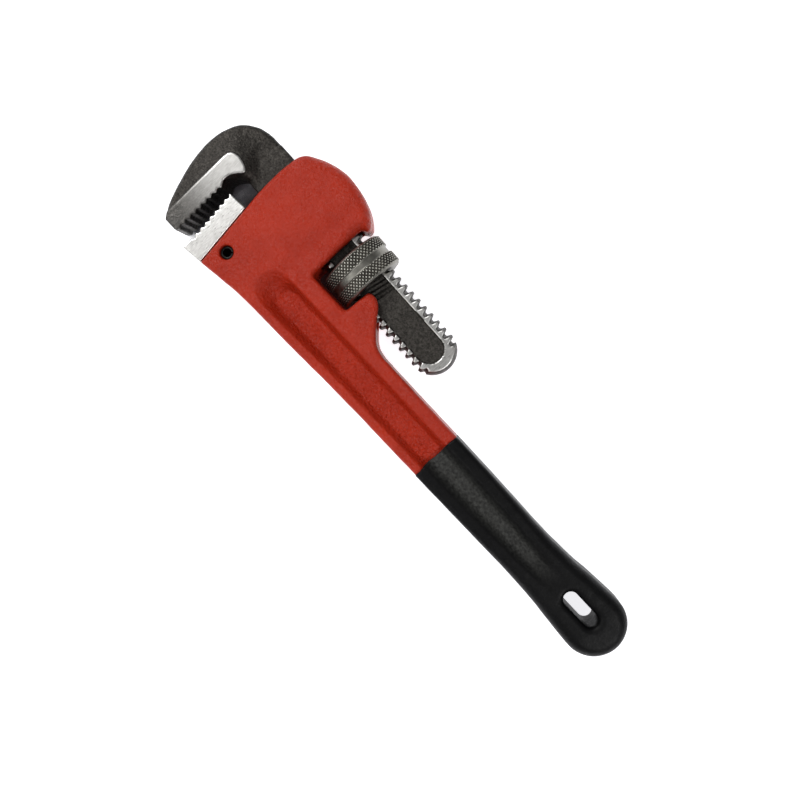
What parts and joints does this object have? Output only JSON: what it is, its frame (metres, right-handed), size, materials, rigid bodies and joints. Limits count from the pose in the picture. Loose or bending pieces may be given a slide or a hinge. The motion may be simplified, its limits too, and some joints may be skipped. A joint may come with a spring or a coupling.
{
  "type": "pipe wrench",
  "caption": "Straight pipe wrench with a toothed hook jaw fed by a knurled ring nut, a pinned heel jaw and a dipped grip.",
  "frame": {"origin": "under the middle of the bounding box, level with the lowest point of the adjusting nut, with the wrench's middle plane level above it", "axes": "+X along the handle towards its end, away from the jaws; +Y towards the hook jaw's shank; +Z out of one flat side"},
  "size_m": [0.2663, 0.0689, 0.03],
  "materials": {
    "red_paint": "semi-gloss enamel over a rough casting",
    "grip_vinyl": "satin, dipped vinyl",
    "ground_steel": "ground",
    "pin_steel": "dark, dull",
    "forged_steel": "dark forged skin, ground on its flats",
    "nut_steel": "knurled, dark oiled",
    "spring_steel": "satin"
  },
  "bodies": {
    "handle": {"handle_housing": "red_paint", "grip_sleeve": "grip_vinyl", "heel_jaw": "ground_steel", "heel_jaw_pin": "pin_steel", "spring_rivet": "pin_steel", "coil_spring": "spring_steel"},
    "jaw_carrier": {"leaf_spring": "spring_steel"},
    "hook_jaw": {"hook_jaw": "forged_steel"},
    "adjusting_nut": {"adjusting_nut": "nut_steel"}
  },
  "joints": [
    {"name": "jaw_rock", "type": "hinge", "parent": "handle", "child": "jaw_carrier", "pos_m": [-0.0515, 0.0119, 0.015], "axis": [0, 0, 1], "range_deg": [-1.5, 2.5], "stiffness_Nm_per_rad": 4, "deforming": ["leaf_spring", "coil_spring"]},
    {"name": "jaw_feed", "type": "slide", "parent": "jaw_carrier", "child": "hook_jaw", "axis": [-0.9998, 0.0209, 0], "range_m": [-0.003, 0.034]},
    {"name": "nut_spin", "type": "hinge", "parent": "jaw_carrier", "child": "adjusting_nut", "pos_m": [-0.0515, 0.0119, 0.015], "axis": [-0.9998, 0.0209, 0], "continuous": true}
  ],
  "couplings": [
    {"joint": "nut_spin", "follows": "jaw_feed", "rad_per_m": -1570.8}
  ]
}
